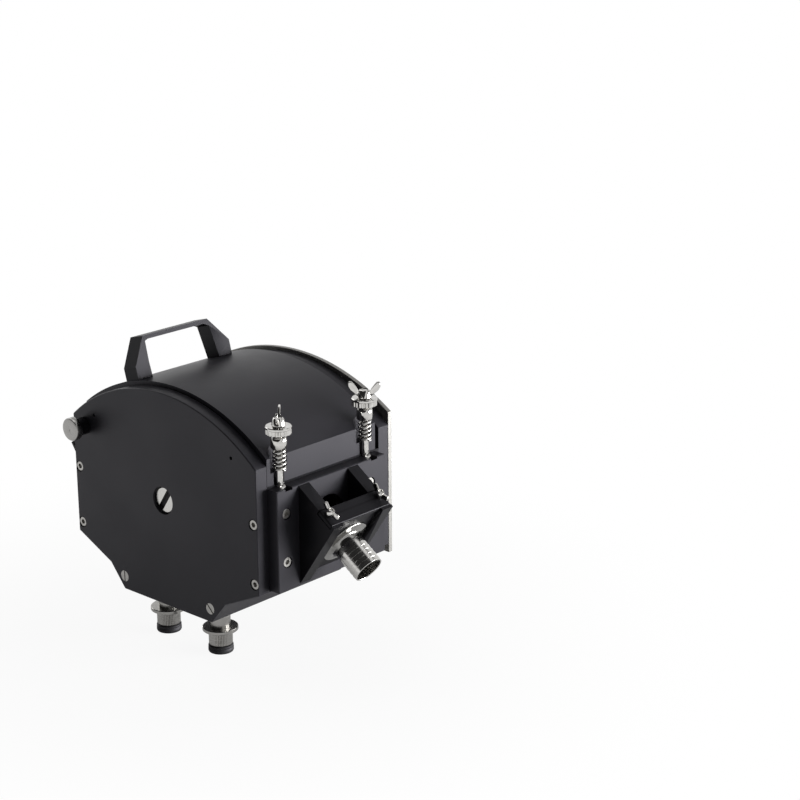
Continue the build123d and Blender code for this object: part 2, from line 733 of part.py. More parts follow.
roller_spots = []
for i in range(roller_count):
    turn = 2 * math.pi * i / roller_count
    roller_spots.append((roller_orbit * math.sin(turn), roller_orbit * math.cos(turn)))
for name, y0 in (("front", disc_front_y), ("rear", disc_rear_y)):
    disc = rod_y(disc_r, y0, y0 + disc_t) - rod_y(shaft_r, y0 - 1, y0 + disc_t + 1)
    for x, z in roller_spots:
        disc -= rod_y(axle_r, y0 - 1, y0 + disc_t + 1, x, z)
    save(f"rotor_disc_{name}", disc)
roller_y0 = disc_front_y + disc_t
roller_y1 = disc_rear_y
hub_tube = rod_y(hub_tube_r, roller_y0, roller_y1) - rod_y(shaft_r, roller_y0 - 1, roller_y1 + 1)
save("rotor_hub", hub_tube)
save("roller_axles", group([rod_y(axle_r, disc_front_y, roller_y1 + disc_t, x, z) for x, z in roller_spots]))
for i, (x, z) in enumerate(roller_spots):
    roller = rod_y(roller_r, roller_y0 + roller_end_gap, roller_y1 - roller_end_gap, x, z)
    roller = chamfer(roller.edges().filter_by(GeomType.CIRCLE), 1.5)
    roller -= rod_y(axle_r + axle_gap, roller_y0, roller_y1, x, z)
    save(f"roller_{i + 1}", roller)

# ---- feet ------------------------------------------------------------------
posts = []
for name, sx in (("left", -1), ("right", 1)):
    here = Pos(sx * foot_x, foot_y, 0)
    post = Pos(0, 0, stem_z) * Cylinder(stem_r, sole[1] - stem_z, align=bottom)
    post += Pos(0, 0, sole[1]) * Cylinder(stud_r, shell_t, align=bottom)
    post += Pos(0, 0, stem_z - foot_flange_t) * Cylinder(foot_flange_r, foot_flange_t, align=bottom)
    post += Pos(0, 0, stud_low_z) * Cylinder(stud_r, stem_z - stud_low_z, align=bottom)
    posts.append(here * post)
    body = Pos(0, 0, knurl_low_z) * knurled(knurl_r, knurl_root_r, knurl_teeth, knurl_top_z - knurl_low_z)
    body -= Pos(0, 0, stud_low_z) * Cylinder(stud_r + pin_gap, 40, align=(Align.CENTER, Align.CENTER, Align.MIN))
    body -= Pos(0, 0, knurl_low_z) * Cylinder(pad_stem_r + pin_gap, 2 * pad_stem_h + 1)
    save(f"foot_body_{name}", here * body)
    pad = Pos(0, 0, pad_low_z) * Cylinder(pad_r, knurl_low_z - foot_gap - pad_low_z, align=bottom)
    pad += Pos(0, 0, knurl_low_z - foot_gap) * Cylinder(pad_stem_r, pad_stem_h, align=bottom)
    save(f"foot_pad_{name}", here * pad)
save("foot_posts", group(posts))
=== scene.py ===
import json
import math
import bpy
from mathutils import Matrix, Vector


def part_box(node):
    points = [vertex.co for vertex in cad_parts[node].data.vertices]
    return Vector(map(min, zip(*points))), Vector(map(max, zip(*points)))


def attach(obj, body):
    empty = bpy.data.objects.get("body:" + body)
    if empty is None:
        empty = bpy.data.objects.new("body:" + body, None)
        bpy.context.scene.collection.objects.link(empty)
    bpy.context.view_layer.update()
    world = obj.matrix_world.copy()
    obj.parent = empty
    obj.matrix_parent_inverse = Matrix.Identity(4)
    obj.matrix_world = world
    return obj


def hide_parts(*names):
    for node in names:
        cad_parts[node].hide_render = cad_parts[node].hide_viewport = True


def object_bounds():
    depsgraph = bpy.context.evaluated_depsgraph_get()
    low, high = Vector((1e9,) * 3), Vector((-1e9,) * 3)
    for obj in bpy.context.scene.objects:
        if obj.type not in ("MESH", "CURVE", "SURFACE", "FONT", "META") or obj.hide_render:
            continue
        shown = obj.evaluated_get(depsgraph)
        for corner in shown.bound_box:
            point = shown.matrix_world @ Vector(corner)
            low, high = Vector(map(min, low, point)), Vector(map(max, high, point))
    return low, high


bl_info = {
    "name": "Peristaltic Pump Head",
    "version": (1, 0, 0),
    "blender": (4, 5, 0),
    "location": "View3D > Sidebar > Pump Head",
    "description": "Dresses a peristaltic pump head with turned, knurled and anodised parts",
    "category": "Object",
}

import bmesh
import bpy
from bpy.props import FloatProperty, FloatVectorProperty, IntProperty, PointerProperty
from bpy.types import Operator, Panel, PropertyGroup
from mathutils import Matrix, Vector

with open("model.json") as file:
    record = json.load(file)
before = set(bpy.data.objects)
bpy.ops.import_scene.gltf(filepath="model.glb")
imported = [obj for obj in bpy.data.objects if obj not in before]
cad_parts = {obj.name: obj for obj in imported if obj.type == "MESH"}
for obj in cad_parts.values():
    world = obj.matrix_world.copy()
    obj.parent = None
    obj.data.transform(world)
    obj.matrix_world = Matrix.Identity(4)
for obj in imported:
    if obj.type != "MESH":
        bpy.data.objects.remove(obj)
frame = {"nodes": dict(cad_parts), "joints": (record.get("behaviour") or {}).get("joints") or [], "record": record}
cad_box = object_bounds()
MM = 0.001
HINGES = {joint["name"]: joint for joint in frame["joints"]}
ENDS = ("front", "rear")
SIDES = ("left", "right")
MERGE_GAP = 0.002 * MM
BOLT_BORE = 4.06 * MM
BUMP_HEIGHT = 0.02 * MM
WHITE = (1.0, 1.0, 1.0, 1.0)
# What mirrors show: bright behind and above, dark over the front, as (place, brightness).
SKY = (
    (0.0, 0.9), (0.3, 0.95), (0.36, 0.75), (0.4, 0.42), (0.48, 0.42), (0.54, 1.0),
    (0.67, 1.0), (0.71, 0.03),
)


# ---- sizes and colours a user would change ---------------------------------
class PumpHeadSizes(PropertyGroup):
    edge: FloatProperty(
        name="Broken edge", description="Width of the broken edges of the machined plates",
        default=0.5 * MM, unit="LENGTH",
    )
    wing_thick: FloatProperty(
        name="Wing thickness", description="Thickness of the wings of the wing nuts",
        default=2.6 * MM, unit="LENGTH",
    )
    spring_wire: FloatProperty(
        name="Spring wire", description="Diameter of the clamping spring's wire",
        default=2.4 * MM, unit="LENGTH",
    )
    spring_turns: FloatProperty(
        name="Spring turns", description="Turns of each clamping spring", default=4.6,
    )
    knurl_teeth: IntProperty(
        name="Foot knurl teeth", description="Teeth round each levelling foot", default=44,
    )


class PumpHeadColours(PropertyGroup):
    anodised: FloatVectorProperty(
        name="Anodised", description="Colour of the black anodised plates",
        subtype="COLOR", size=3, default=(0.014, 0.0135, 0.0165),
    )
    stainless: FloatVectorProperty(
        name="Stainless", description="Colour of the brushed stainless steel",
        subtype="COLOR", size=3, default=(0.46, 0.45, 0.43),
    )
    polished: FloatVectorProperty(
        name="Polished", description="Colour of the polished steel fittings",
        subtype="COLOR", size=3, default=(0.6, 0.59, 0.57),
    )
    rubber: FloatVectorProperty(
        name="Rubber", description="Colour of the rubber foot pads",
        subtype="COLOR", size=3, default=(0.012, 0.012, 0.012),
    )


def sizes():
    """The sizes set in the panel."""
    return bpy.context.scene.pump_head_sizes


def colours():
    """The colours set in the panel."""
    return bpy.context.scene.pump_head_colours


# ---- node groups shared by the materials -----------------------------------
def new_group(name, inputs):
    """An empty node group with named inputs, which gives a shade, a roughness and a normal."""
    group = bpy.data.node_groups.new(name, "ShaderNodeTree")
    for label, kind, default in inputs:
        socket = group.interface.new_socket(name=label, in_out="INPUT", socket_type=kind)
        socket.default_value = default
    for label, kind in (("Shade", "Float"), ("Roughness", "Float"), ("Normal", "Vector")):
        group.interface.new_socket(name=label, in_out="OUTPUT", socket_type=f"NodeSocket{kind}")
    return group, group.nodes.new("NodeGroupInput"), group.nodes.new("NodeGroupOutput")


def grooves(group, given, height):
    """A normal that follows a height, at the group's own depth."""
    bump = group.nodes.new("ShaderNodeBump")
    bump.inputs["Distance"].default_value = BUMP_HEIGHT
    group.links.new(given.outputs["Depth"], bump.inputs["Strength"])
    group.links.new(height, bump.inputs["Height"])
    return bump.outputs["Normal"]


def ranged(group, value, low, high, to_low, to_high):
    """Map a value from low and high to two other limits, each a number or a socket."""
    spread = group.nodes.new("ShaderNodeMapRange")
    spread.inputs["From Min"].default_value = low
    spread.inputs["From Max"].default_value = high
    group.links.new(value, spread.inputs["Value"])
    for label, limit in (("To Min", to_low), ("To Max", to_high)):
        if isinstance(limit, float):
            spread.inputs[label].default_value = limit
        else:
            group.links.new(limit, spread.inputs[label])
    return spread.outputs["Result"]


def send_out(group, out, shade, roughness, normal):
    """Link the three values that every finish gives."""
    group.links.new(shade, out.inputs["Shade"])
    group.links.new(roughness, out.inputs["Roughness"])
    group.links.new(normal, out.inputs["Normal"])


def vector_step(group, operation, first, second=None):
    """A vector sum of one or two sockets."""
    step = group.nodes.new("ShaderNodeVectorMath")
    step.operation = operation
    group.links.new(first, step.inputs[0])
    if second is not None:
        group.links.new(second, step.inputs[1])
    return step


def object_place(group):
    """The place on the object, in its own space."""
    return group.nodes.new("ShaderNodeTexCoord").outputs["Object"]


def ring_noise(group, given, distance):
    """Lines whose strength changes with a distance only."""
    spacing = group.nodes.new("ShaderNodeMath")
    spacing.operation = "MULTIPLY"
    group.links.new(distance, spacing.inputs[0])
    group.links.new(given.outputs["Ring pitch"], spacing.inputs[1])
    rings = group.nodes.new("ShaderNodeTexNoise")
    rings.noise_dimensions = "1D"
    rings.inputs["Scale"].default_value = 1.0
    rings.inputs["Detail"].default_value = 3.0
    group.links.new(spacing.outputs["Value"], rings.inputs["W"])
    return rings.outputs["Fac"]


def blasted_group():
    """Fine grain of a blasted and anodised face."""
    found = bpy.data.node_groups.get("blasted_grain")
    if found:
        return found
    group, given, out = new_group(
        "blasted_grain",
        [("Grain size", "NodeSocketFloat", 2600.0), ("Depth", "NodeSocketFloat", 0.12),
         ("Roughness low", "NodeSocketFloat", 0.4), ("Roughness high", "NodeSocketFloat", 0.5)],
    )
    place = object_place(group)
    grain = group.nodes.new("ShaderNodeTexNoise")
    grain.inputs["Detail"].default_value = 3.0
    group.links.new(place, grain.inputs["Vector"])
    group.links.new(given.outputs["Grain size"], grain.inputs["Scale"])
    cloud = group.nodes.new("ShaderNodeTexNoise")
    cloud.inputs["Scale"].default_value = 14.0
    cloud.inputs["Detail"].default_value = 4.0
    group.links.new(place, cloud.inputs["Vector"])
    patches = cloud.outputs["Fac"]
    rough = [given.outputs[f"Roughness {end}"] for end in ("low", "high")]
    send_out(
        group, out, ranged(group, patches, 0.3, 0.7, 0.9, 1.1),
        ranged(group, patches, 0.35, 0.65, *rough), grooves(group, given, grain.outputs["Fac"]),
    )
    return group


def brushed_group():
    """Brush lines: noise drawn out along one direction."""
    found = bpy.data.node_groups.get("brush_lines")
    if found:
        return found
    group, given, out = new_group(
        "brush_lines",
        [("Stretch", "NodeSocketVector", (900.0, 900.0, 12.0)), ("Depth", "NodeSocketFloat", 0.15),
         ("Roughness low", "NodeSocketFloat", 0.22), ("Roughness high", "NodeSocketFloat", 0.38)],
    )
    spread = vector_step(group, "MULTIPLY", object_place(group), given.outputs["Stretch"])
    noise = group.nodes.new("ShaderNodeTexNoise")
    noise.inputs["Scale"].default_value = 1.0
    noise.inputs["Detail"].default_value = 5.0
    group.links.new(spread.outputs["Vector"], noise.inputs["Vector"])
    lines = noise.outputs["Fac"]
    rough = [given.outputs[f"Roughness {end}"] for end in ("low", "high")]
    send_out(
        group, out, ranged(group, lines, 0.3, 0.7, 0.82, 1.08),
        ranged(group, lines, 0.3, 0.7, *rough), grooves(group, given, lines),
    )
    return group


def turned_group():
    """Tool rings of a lathe-turned face, round an axis through a centre."""
    found = bpy.data.node_groups.get("tool_rings")
    if found:
        return found
    group, given, out = new_group(
        "tool_rings",
        [("Centre", "NodeSocketVector", (0.0, 0.0, 0.0)),
         ("Across", "NodeSocketVector", (1.0, 0.0, 1.0)),
         ("Ring pitch", "NodeSocketFloat", 3500.0), ("Depth", "NodeSocketFloat", 0.2)],
    )
    offset = vector_step(group, "SUBTRACT", object_place(group), given.outputs["Centre"])
    flat = vector_step(group, "MULTIPLY", offset.outputs["Vector"], given.outputs["Across"])
    reach = vector_step(group, "LENGTH", flat.outputs["Vector"])
    rings = ring_noise(group, given, reach.outputs["Value"])
    send_out(
        group, out, ranged(group, rings, 0.3, 0.7, 0.85, 1.05),
        ranged(group, rings, 0.3, 0.7, 0.18, 0.34), grooves(group, given, rings),
    )
    return group


def barb_group():
    """Fine rings across a slanted axis: the distance along the axis drives the lines."""
    found = bpy.data.node_groups.get("axis_rings")
    if found:
        return found
    group, given, out = new_group(
        "axis_rings",
        [("Axis", "NodeSocketVector", (0.0, 0.0, 1.0)), ("Ring pitch", "NodeSocketFloat", 2600.0),
         ("Depth", "NodeSocketFloat", 0.1)],
    )
    along = vector_step(group, "DOT_PRODUCT", object_place(group), given.outputs["Axis"])
    rings = ring_noise(group, given, along.outputs["Value"])
    send_out(
        group, out, ranged(group, rings, 0.3, 0.7, 0.88, 1.04),
        ranged(group, rings, 0.3, 0.7, 0.12, 0.24), grooves(group, given, rings),
    )
    return group


def finish_material(name, group, colour, metallic, values, specular=0.5):
    """A material whose colour, roughness and normal come from one of the shared groups."""
    found = bpy.data.materials.get(name)
    if found:
        return found
    material = bpy.data.materials.new(name)
    material.use_nodes = True
    nodes, links = material.node_tree.nodes, material.node_tree.links
    shader = nodes["Principled BSDF"]
    shader.inputs["Metallic"].default_value = metallic
    shader.inputs["Specular IOR Level"].default_value = specular
    if not metallic:
        shader.inputs["Specular Tint"].default_value = (0.92, 0.9, 1.0, 1.0)
    effect = nodes.new("ShaderNodeGroup")
    effect.node_tree = group
    for label, value in values.items():
        effect.inputs[label].default_value = value
    tint = nodes.new("ShaderNodeVectorMath")
    tint.operation = "SCALE"
    tint.inputs[0].default_value = tuple(colour)
    links.new(effect.outputs["Shade"], tint.inputs["Scale"])
    links.new(tint.outputs["Vector"], shader.inputs["Base Color"])
    links.new(effect.outputs["Roughness"], shader.inputs["Roughness"])
    links.new(effect.outputs["Normal"], shader.inputs["Normal"])
    return material


def darker(colour, share):
    """A share of a colour."""
    return [share * value for value in colour]


def anodised_black():
    """The satin black of the plates, blocks, shell and cover."""
    return finish_material(
        "anodised_black", blasted_group(), colours().anodised, 0.0,
        {"Roughness low": 0.38, "Roughness high": 0.46, "Depth": 0.1}, specular=0.3,
    )


def shaded_black():
    """A darker copy of the anodised black, at about a third of its brightness: painted shade on the handle, clamps
    and brackets.
    """
    return finish_material(
        "shaded_black", blasted_group(), darker(colours().anodised, 0.35), 0.0,
        {"Roughness low": 0.34, "Roughness high": 0.42, "Depth": 0.1}, specular=0.14,
    )


def brushed_metal(name, colour, stretch, depth, rough=None):
    """A steel with brush lines; rough is the span of its roughness."""
    values = {"Stretch": stretch, "Depth": depth}
    if rough:
        values.update({"Roughness low": rough[0], "Roughness high": rough[1]})
    return finish_material(name, brushed_group(), colour, 1.0, values)


def brushed_steel():
    """The plain brushed steel of the bearings, the pivots and the hinge pin."""
    return brushed_metal("brushed_steel", colours().stainless, (500.0, 900.0, 40.0), 0.02)


def mount_steel():
    """The upright brush and duller grey of the mount plate."""
    dull = darker(colours().stainless, 0.55)
    return brushed_metal("mount_steel", dull, (500.0, 900.0, 40.0), 0.015, (0.4, 0.52))


def polished_steel():
    """Nearly a mirror, for the nuts, springs, bolts and rollers."""
    even = (260.0, 260.0, 260.0)
    return brushed_metal("polished_steel", colours().polished, even, 0.04, (0.08, 0.16))


def screw_steel():
    """Plain bright steel of the socket and slotted screws."""
    even = (400.0, 400.0, 400.0)
    return brushed_metal("screw_steel", colours().stainless, even, 0.04, (0.3, 0.42))


def flange_steel_shaded():
    """Satin steel at half the polished brightness: painted shade, standing in for the shadowed floor that the
    connector flanges mirror.
    """
    even = (260.0, 260.0, 260.0)
    return brushed_metal("flange_steel_shaded", darker(colours().polished, 0.5), even, 0.03, (0.12, 0.2))


def turned_foot_steel():
    """Steel whose lines run round an upright foot."""
    level = (60.0, 60.0, 2200.0)
    return brushed_metal("turned_foot_steel", colours().stainless, level, 0.12, (0.16, 0.3))


def turned_steel(name, centre, share=1.0):
    """Steel with tool rings round an axis along Y; share darkens it."""
    return finish_material(
        name, turned_group(), darker(colours().polished, share), 1.0,
        {"Centre": centre, "Across": (1.0, 0.0, 1.0)},
    )


def barb_steel(side, out):
    """Steel with fine lathe rings that follow the barb's own axis."""
    return finish_material(
        f"barb_steel_{side}", barb_group(), colours().polished, 1.0,
        {"Axis": tuple(out), "Depth": 0.02},
    )


def foot_rubber():
    """Matt black moulded rubber."""
    return finish_material(
        "foot_rubber", blasted_group(), colours().rubber, 0.0,
        {"Grain size": 1500.0, "Depth": 0.3, "Roughness low": 0.55, "Roughness high": 0.7},
    )


# ---- helpers for the pieces ------------------------------------------------
def standing(origin, up, across=(1.0, 0.0, 0.0)):
    """A matrix that stands a piece on origin, with Z along up and X as near across as it goes."""
    z = Vector(up).normalized()
    y = z.cross(Vector(across)).normalized()
    x = y.cross(z)
    turn = Matrix((x, y, z)).transposed().to_4x4()
    return Matrix.Translation(Vector(origin)) @ turn


def lathe(bm, profile, steps=72):
    """Spin a profile of (radius, height) in metres round Z into the mesh."""
    start = [bm.verts.new((radius, 0.0, height)) for radius, height in profile]
    edges = [bm.edges.new(pair) for pair in zip(start, start[1:])]
    bmesh.ops.spin(
        bm, geom=start + edges, cent=(0, 0, 0), axis=(0, 0, 1), angle=2 * math.pi, steps=steps,
        use_merge=True,
    )
    bmesh.ops.remove_doubles(bm, verts=bm.verts, dist=MERGE_GAP)
    bmesh.ops.recalc_face_normals(bm, faces=bm.faces)


def make_piece(name, bm, place, body, material, nodes=(), smooth_angle=35.0):
    """Turn a mesh into a finished piece at its place, riding on its body."""
    bmesh.ops.transform(bm, matrix=place, verts=bm.verts)
    mesh = bpy.data.meshes.new(name)
    bm.to_mesh(mesh)
    bm.free()
    mesh.materials.append(material)
    mesh.shade_smooth()
    mesh.set_sharp_from_angle(angle=math.radians(smooth_angle))
    piece = bpy.data.objects.new(name, mesh)
    bpy.context.scene.collection.objects.link(piece)
    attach(piece, body)
    if nodes:
        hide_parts(*nodes)


def dress(node, material, width=None):
    """Give a CAD node its finish and break its sharp edges."""
    shown = frame["nodes"][node]
    shown.data.materials.clear()
    shown.data.materials.append(material)
    if width:
        weld = shown.modifiers.new("joined", "WELD")
        weld.merge_threshold = MERGE_GAP
        broken = shown.modifiers.new("broken_edge", "BEVEL")
        broken.width = width
        broken.segments = 2
        broken.limit_method = "ANGLE"
        broken.angle_limit = math.radians(40)
        broken.use_clamp_overlap = True
        broken.harden_normals = True


def join(bm, other):
    """Move another mesh's geometry into bm."""
    carrier = bpy.data.meshes.new("carrier")
    other.to_mesh(carrier)
    other.free()
    bm.from_mesh(carrier)
    bpy.data.meshes.remove(carrier)


def middle(node):
    """The middle of a CAD node's box."""
    low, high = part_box(node)
    return (Vector(low) + Vector(high)) / 2


def half_width(node, axis=0):
    """Half the width of a CAD node's box along an axis."""
    low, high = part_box(node)
    return (high[axis] - low[axis]) / 2


def foot_of(node):
    """The place of a piece that stands upright on the bottom of a CAD node's box."""
    centre = middle(node)
    return Matrix.Translation((centre.x, centre.y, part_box(node)[0][2]))


def length_of(node, axis=2):
    """The whole length of a CAD node's box along an axis, which is upright unless it is given."""
    low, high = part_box(node)
    return high[axis] - low[axis]


def moved_verts(result):
    """The vertices that an extrusion made."""
    return [item for item in result["geom"] if isinstance(item, bmesh.types.BMVert)]


# ---- operators -------------------------------------------------------------
class PUMPHEAD_OT_housing(Operator):
    """Finish the plates, blocks, brackets and cover"""
    bl_idname = "pump_head.housing"
    bl_label = "Housing"

    def execute(self, context):
        edge = sizes().edge
        for node in ("front_plate", "rear_plate", "lower_shell", "side_block_left",
                     "side_block_right"):
            dress(node, anodised_black(), edge)
        dress("cover_shell", anodised_black())
        for node in ("side_plate_left", "side_plate_right", "bracket_cheeks", "clamp_bar_left",
                     "clamp_bar_right", "port_plate_left", "port_plate_right"):
            dress(node, shaded_black(), edge)
        dress("cover_handle", shaded_black(), 1.2 * MM)
        dress("mount_plate", mount_steel(), 0.3 * MM)
        return {"FINISHED"}


class PUMPHEAD_OT_running_gear(Operator):
    """Finish the rotor, rollers, bearings, shafts and screws"""
    bl_idname = "pump_head.running_gear"
    bl_label = "Running gear"

    def execute(self, context):
        along = turned_steel("turned_along_y", (0.0, 0.0, 0.0))
        for node in ("rotor_disc_front", "rotor_disc_rear", "rotor_hub", "rotor_shaft",
                     "roller_axles"):
            dress(node, along, 0.3 * MM)
        for number in range(1, 7):
            dress(f"roller_{number}", polished_steel())
        for node in ("bearing_outer_rings", "bearing_inner_rings", "hinge_bush", "bolt_pivots",
                     "hinge_pin"):
            dress(node, brushed_steel(), 0.2 * MM)
        for node in ("end_plate_screws", "side_block_screws", "shell_screws", "handle_screws"):
            dress(node, screw_steel(), 0.25 * MM)
        self.paint_slot_shadow()
        return {"FINISHED"}

    def paint_slot_shadow(self):
        """A thin black sheet laid on the floor of the driver slot in the shaft's end: painted shadow in the slot.
        """
        length, thick, width = 25.0 * MM, 0.12 * MM, 6.9 * MM
        depth = 2.32 * MM
        turn = Matrix.Rotation(math.radians(-56.0), 4, "Y")
        bm = bmesh.new()
        bmesh.ops.create_cube(bm, size=1.0)
        bmesh.ops.scale(bm, vec=(length, thick, width), verts=bm.verts)
        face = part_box("rotor_shaft")[0][1]
        place = Matrix.Translation((0.0, face + depth, 0.0)) @ turn
        make_piece("slot_shadow_sheet", bm, place, "rotor", shaded_black())


class PUMPHEAD_OT_disc_nuts(Operator):
    """Turn the round nuts under the wing nuts and flute their rims"""
    bl_idname = "pump_head.disc_nuts"
    bl_label = "Disc nuts"

    def execute(self, context):
        flutes = 22
        walls_per_flute = 4
        chamfer = 0.7 * MM
        recess_r, recess = 8.0 * MM, 0.5 * MM
        cut_in = 0.93
        for end in ENDS:
            node = f"disc_nut_{end}"
            rim = half_width(node)
            tall = length_of(node)
            skirt = 0.62 * tall
            under = skirt - 0.2 * MM
            bm = bmesh.new()
            lathe(bm, [
                (BOLT_BORE, under), (rim - chamfer, under), (rim, skirt + 0.5 * MM),
                (rim, tall - chamfer), (rim - chamfer, tall), (recess_r, tall),
                (recess_r - 0.6 * MM, tall - recess), (BOLT_BORE, tall - recess),
                (BOLT_BORE, under),
            ], 72)
            drum_r = rim - 0.5 * MM
            drum = bmesh.new()
            bmesh.ops.create_cone(drum, cap_ends=True, segments=flutes * walls_per_flute,
                                  radius1=drum_r, radius2=drum_r, depth=skirt)
            walls = [face for face in drum.faces if abs(face.normal.z) < 0.5]
            walls.sort(key=lambda face: math.atan2(face.normal.y, face.normal.x))
            cut = [vert for face in walls[::walls_per_flute] for vert in face.verts]
            bmesh.ops.scale(drum, vec=(cut_in, cut_in, 1.0), verts=list(set(cut)))
            bmesh.ops.translate(drum, vec=(0.0, 0.0, skirt / 2), verts=drum.verts)
            join(bm, drum)
            make_piece(f"fluted_disc_{end}", bm, foot_of(node), node, polished_steel(),
                       (node,), 30.0)
        return {"FINISHED"}


class PUMPHEAD_OT_clamping_bolts(Operator):
    """Turn the swing bolts, with a rolled thread and a domed end above an eye"""
    bl_idname = "pump_head.clamping_bolts"
    bl_label = "Clamping bolts"

    def execute(self, context):
        shank, root, collar = 4.0 * MM, 3.4 * MM, 4.5 * MM
        pitch = 1.25 * MM
        thread = 26.0 * MM
        rim = 0.8 * MM
        for end in ENDS:
            node = f"swing_bolt_{end}"
            low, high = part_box(node)
            eye = half_width(node)
            axis = Vector(((low[0] + high[0]) / 2, (low[1] + high[1]) / 2, low[2] + eye))
            top = high[2] - axis.z
            seat = eye + 0.2 * MM
            profile = [
                (0.0, 0.6 * eye), (shank, 0.6 * eye), (shank, seat), (collar - 0.3 * MM, seat),
                (collar, seat + 0.3 * MM), (collar, seat + 1.5 * MM),
                (collar - 0.5 * MM, seat + 2.0 * MM), (shank, seat + 2.1 * MM),
            ]
            height = top - thread
            profile += [(shank, height)]
            while height < top - 2.4 * MM:
                profile += [(root, height + 0.4 * pitch), (root, height + 0.6 * pitch),
                            (shank, height + pitch)]
                height += pitch
            profile += [(root, top - 0.6 * MM), (0.5 * root, top), (0.0, top)]
            bm = bmesh.new()
            lathe(bm, profile, 32)
            half = half_width(node, 1)
            barrel = bmesh.new()
            lathe(barrel, [
                (0.0, -half), (eye - rim, -half), (eye, rim - half), (eye, half - rim),
                (eye - rim, half), (0.0, half),
            ], 40)
            bmesh.ops.rotate(barrel, cent=(0, 0, 0), matrix=Matrix.Rotation(math.pi / 2, 3, "X"),
                             verts=barrel.verts)
            join(bm, barrel)
            make_piece(f"clamping_bolt_{end}", bm, Matrix.Translation(axis), node,
                       polished_steel(), (node,))
        return {"FINISHED"}


class PUMPHEAD_OT_springs(Operator):
    """Wind the clamping springs and press their domed caps"""
    bl_idname = "pump_head.springs"
    bl_label = "Springs and caps"

    def execute(self, context):
        for end in ENDS:
            self.wind(end)
            self.press_cap(end)
        return {"FINISHED"}

    def wind(self, end):
        """A spring with one closed coil at each end."""
        node = f"bolt_spring_{end}"
        wire = sizes().spring_wire / 2
        turns = sizes().spring_turns
        coil = half_width(node) - wire
        dead = 2 * wire
        pitch = (length_of(node) - 3 * dead) / turns
        steps = 36
        bm = bmesh.new()
        ring = bmesh.ops.create_circle(bm, segments=12, radius=wire, cap_ends=True)["verts"]
        bmesh.ops.rotate(bm, cent=(0, 0, 0), matrix=Matrix.Rotation(math.pi / 2, 3, "X"),
                         verts=ring)
        bmesh.ops.translate(bm, vec=(coil, 0.0, wire), verts=ring)
        live = list(bm.faces)[0]
        for count, rise in ((1.0, dead), (turns, pitch), (1.0, dead)):
            made = bmesh.ops.spin(
                bm, geom=[live], cent=(0, 0, 0), axis=(0, 0, 1), angle=2 * math.pi * count,
                dvec=(0, 0, rise / steps), steps=int(steps * count),
            )
            live = [item for item in made["geom_last"]
                    if isinstance(item, bmesh.types.BMFace)][0]
        bmesh.ops.recalc_face_normals(bm, faces=bm.faces)
        make_piece(f"spring_{end}", bm, foot_of(node), f"swing_bolt_{end}", polished_steel(),
                   (node,))

    def press_cap(self, end):
        """The hollow cap on top of a spring, domed up to a neck."""
        node = f"spring_cap_{end}"
        rim = half_width(node)
        tall = length_of(node)
        wall, bore = 0.8 * MM, 4.0 * MM
        neck = 0.62 * rim
        profile = [(rim - wall, 0.0), (rim - 0.3 * MM, 0.0), (rim, 0.3 * MM), (rim, 0.5 * tall)]
        for step in range(1, 7):
            turn = step / 7 * math.pi / 2
            profile.append((neck + (rim - neck) * math.cos(turn),
                            (0.5 + 0.34 * math.sin(turn)) * tall))
        profile += [
            (neck, 0.86 * tall), (neck * 1.06, 0.93 * tall), (neck, tall), (bore, tall),
            (bore, 0.5 * tall), (rim - wall, 0.2 * tall), (rim - wall, 0.0),
        ]
        bm = bmesh.new()
        lathe(bm, profile, 48)
        make_piece(f"domed_cap_{end}", bm, foot_of(node), f"swing_bolt_{end}", polished_steel(),
                   (node,), 50.0)


def wing_head(bm, boss, tall, span, height, thick, bore):
    """A forged wing head standing on the origin: a domed boss with two ears along X."""
    lathe(bm, [
        (bore, 0.0), (boss - 0.5 * MM, 0.0), (boss, 0.5 * MM), (0.9 * boss, 0.7 * tall),
        (0.72 * boss, 0.94 * tall), (0.6 * boss, tall), (bore, tall), (bore, 0.0),
    ], 40)
    half = span / 2
    outline = [
        (0.55 * boss, 0.16 * tall), (0.95 * boss, 0.1 * tall), (0.62 * half, 0.24 * height),
        (0.86 * half, 0.44 * height), (half, 0.68 * height), (half, 0.9 * height),
        (0.92 * half, height), (0.78 * half, 0.99 * height), (0.64 * half, 0.84 * height),
        (0.5 * half, 0.66 * height), (0.78 * boss, 0.66 * tall), (0.5 * boss, 0.7 * tall),
    ]
    for side in (1, -1):
        ear = bmesh.new()
        corners = [ear.verts.new((side * x, -thick / 2, z)) for x, z in outline]
        pushed = bmesh.ops.extrude_face_region(ear, geom=[ear.faces.new(corners)])
        bmesh.ops.translate(ear, vec=(0.0, thick, 0.0), verts=moved_verts(pushed))
        bmesh.ops.recalc_face_normals(ear, faces=ear.faces)
        rims = [edge for edge in ear.edges if len(edge.link_faces) == 2
                and edge.link_faces[0].normal.dot(edge.link_faces[1].normal) < 0.3
                and min(abs(vert.co.x) for vert in edge.verts) > 0.8 * boss]
        bmesh.ops.bevel(ear, geom=rims, offset=0.36 * thick, segments=4, profile=0.5,
                        affect="EDGES", material=-1)
        join(bm, ear)


class PUMPHEAD_OT_wing_nuts(Operator):
    """Forge the wing nuts that load the springs"""
    bl_idname = "pump_head.wing_nuts"
    bl_label = "Wing nuts"

    def execute(self, context):
        boss, boss_tall, span = 7.0 * MM, 8.5 * MM, 33.6 * MM
        for end, turn in zip(ENDS, (-50.0, 40.0)):
            node = f"wing_nut_{end}"
            bm = bmesh.new()
            wing_head(bm, boss, boss_tall, span, length_of(node), sizes().wing_thick, BOLT_BORE)
            place = foot_of(node) @ Matrix.Rotation(math.radians(turn), 4, "Z")
            make_piece(f"wing_nut_forged_{end}", bm, place, node, polished_steel(), (node,), 45.0)
        return {"FINISHED"}


